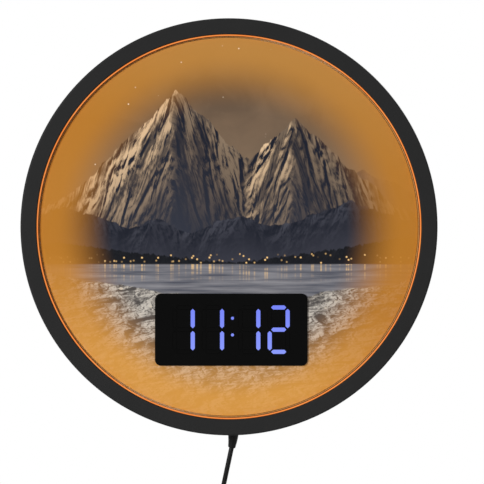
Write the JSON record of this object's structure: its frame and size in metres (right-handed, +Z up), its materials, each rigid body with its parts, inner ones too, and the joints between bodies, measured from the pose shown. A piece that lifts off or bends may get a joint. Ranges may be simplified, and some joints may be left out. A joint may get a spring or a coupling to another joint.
{
  "type": "digital wall clock",
  "caption": "Round digital wall clock: dark ring frame, lit line round a backlit picture panel, segment display, rear push buttons, battery hatch and a coiled power lead",
  "frame": {"origin": "centre of the flat rear face, on the wall plane and on the axis of the round case", "axes": "+Z up the face, +X to the right as seen from the front, the display faces along -Y and the wall lies at Y = 0"},
  "size_m": [0.3, 0.026, 0.4261],
  "materials": {
    "charcoal_plastic": "moulded charcoal plastic with a fine matt grain",
    "amber_acrylic": "amber light guide, lit from behind",
    "gasket_foam": "tan closed-cell foam",
    "printed_acrylic": null,
    "opal_sheet": "opal diffuser sheet",
    "white_plastic": "moulded white plastic",
    "strip_tape": "flexible circuit with white lamps",
    "black_plastic": "moulded black plastic, half gloss",
    "segment_resin": "milky light-guide resin, blue when lit",
    "board_laminate": "green glass-fibre board",
    "chip_epoxy": "black moulded epoxy",
    "steel": "nickel-plated steel",
    "rear_plastic": "moulded black plastic with a spark-eroded grain",
    "ivory_plastic": "moulded ivory plastic",
    "black_rubber": "soft black cable sheath",
    "red_wire": "red wire insulation",
    "black_wire": "black wire insulation",
    "tie_fabric": "black hook-and-loop strap"
  },
  "bodies": {
    "clock": {"front_frame": "charcoal_plastic", "light_ring": "amber_acrylic", "panel_gasket": "gasket_foam", "picture_panel": "printed_acrylic", "diffuser_sheet": "opal_sheet", "reflector_tray": "white_plastic", "led_strip": "strip_tape", "display_block": "black_plastic", "hour_tens_segments": "segment_resin", "hour_units_segments": "segment_resin", "minute_tens_segments": "segment_resin", "minute_units_segments": "segment_resin", "colon_dots": "segment_resin", "main_board": "board_laminate", "microcontroller": "chip_epoxy", "quartz_crystal": "steel", "cell_holder": "black_plastic", "backup_cell": "steel", "light_switch": "black_plastic", "set_switch": "black_plastic", "plus_switch": "black_plastic", "minus_switch": "black_plastic", "cover_screw_1": "steel", "cover_screw_2": "steel", "cover_screw_3": "steel", "cover_screw_4": "steel", "cover_screw_5": "steel", "cover_screw_6": "steel", "board_screw_1": "steel", "board_screw_2": "steel", "board_screw_3": "steel", "board_screw_4": "steel", "rear_cover": "rear_plastic", "dc_jack": "black_plastic", "dc_plug_barrel": "steel", "dc_plug_boot": "black_rubber", "supply_wire_red": "red_wire", "supply_wire_black": "black_wire", "strip_lead": "black_wire", "power_lead": "black_rubber", "lead_coil": "black_rubber", "coil_tie": "tie_fabric", "lead_tail": "black_rubber", "usb_plug_grip": "black_rubber", "usb_plug_shell": "steel", "usb_plug_tongue": "ivory_plastic"},
    "light_key": {"light_button": "rear_plastic", "light_plunger": "ivory_plastic"},
    "set_key": {"set_button": "rear_plastic", "set_plunger": "ivory_plastic"},
    "plus_key": {"plus_button": "rear_plastic", "plus_plunger": "ivory_plastic"},
    "minus_key": {"minus_button": "rear_plastic", "minus_plunger": "ivory_plastic"},
    "hatch": {"battery_hatch": "rear_plastic"}
  },
  "joints": [
    {"name": "light_press", "type": "slide", "parent": "clock", "child": "light_key", "axis": [0, -1, 0], "range_m": [0, 0.0004], "stiffness_N_per_m": 2000},
    {"name": "set_press", "type": "slide", "parent": "clock", "child": "set_key", "axis": [0, -1, 0], "range_m": [0, 0.0004], "stiffness_N_per_m": 2000},
    {"name": "plus_press", "type": "slide", "parent": "clock", "child": "plus_key", "axis": [0, -1, 0], "range_m": [0, 0.0004], "stiffness_N_per_m": 2000},
    {"name": "minus_press", "type": "slide", "parent": "clock", "child": "minus_key", "axis": [0, -1, 0], "range_m": [0, 0.0004], "stiffness_N_per_m": 2000},
    {"name": "hatch_turn", "type": "hinge", "parent": "clock", "child": "hatch", "pos_m": [0.0296, -0.002, -0.074], "axis": [0, 1, 0], "range_deg": [0, 60]}
  ]
}
